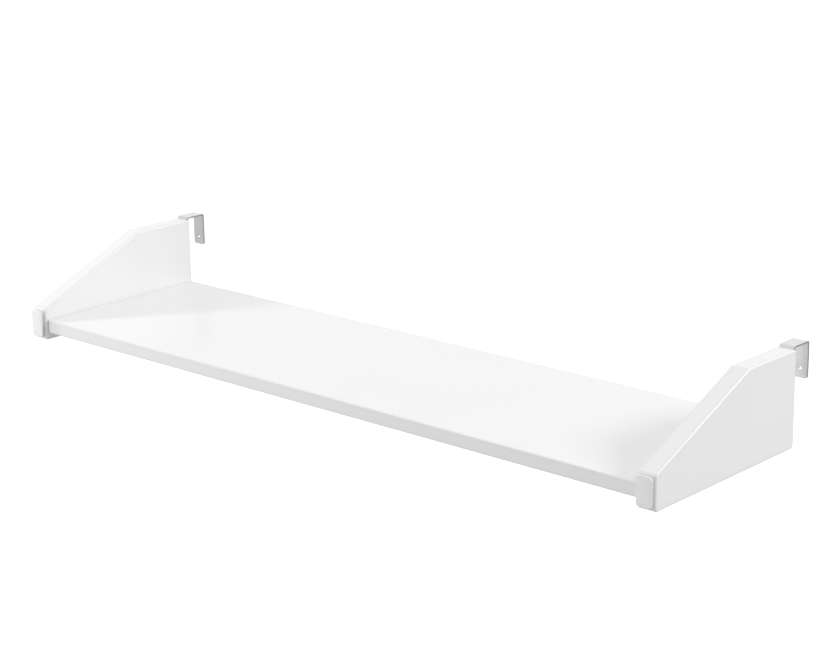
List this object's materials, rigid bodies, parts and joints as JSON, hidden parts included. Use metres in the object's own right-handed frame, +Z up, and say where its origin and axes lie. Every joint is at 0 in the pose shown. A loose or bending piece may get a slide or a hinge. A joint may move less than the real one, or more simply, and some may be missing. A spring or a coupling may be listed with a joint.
{
  "type": "hook-on hanging shelf",
  "caption": "White hanging shelf: a narrow board between two sloped side panels, hung over a bed rail on steel hooks let into the panels' back edges.",
  "frame": {"origin": "middle of the plan outline, on the plane of the side panels' bottom edges", "axes": "+X to the right along the board, +Y to the back, towards the rail that the hooks hang on, +Z up"},
  "size_m": [0.93, 0.272, 0.109],
  "materials": {
    "lacquered_board": "white satin lacquer on fibreboard",
    "lacquered_panel": "white satin lacquer on fibreboard",
    "cap_plastic": "fine satin moulded plastic",
    "zinc_steel": "satin zinc plating",
    "screw_steel": "bright zinc plating",
    "cast_zinc": "die-cast zinc",
    "dowel_wood": "plain beech"
  },
  "bodies": {
    "root": {"shelf_board": "lacquered_board", "left_side_panel": "lacquered_panel", "right_side_panel": "lacquered_panel", "left_front_cap": "cap_plastic", "right_front_cap": "cap_plastic", "left_rail_hook": "zinc_steel", "right_rail_hook": "zinc_steel", "left_hook_screws": "screw_steel", "right_hook_screws": "screw_steel", "left_cam_bolts": "screw_steel", "right_cam_bolts": "screw_steel", "left_cam_locks": "cast_zinc", "right_cam_locks": "cast_zinc", "left_dowels": "dowel_wood", "right_dowels": "dowel_wood"}
  },
  "joints": []
}
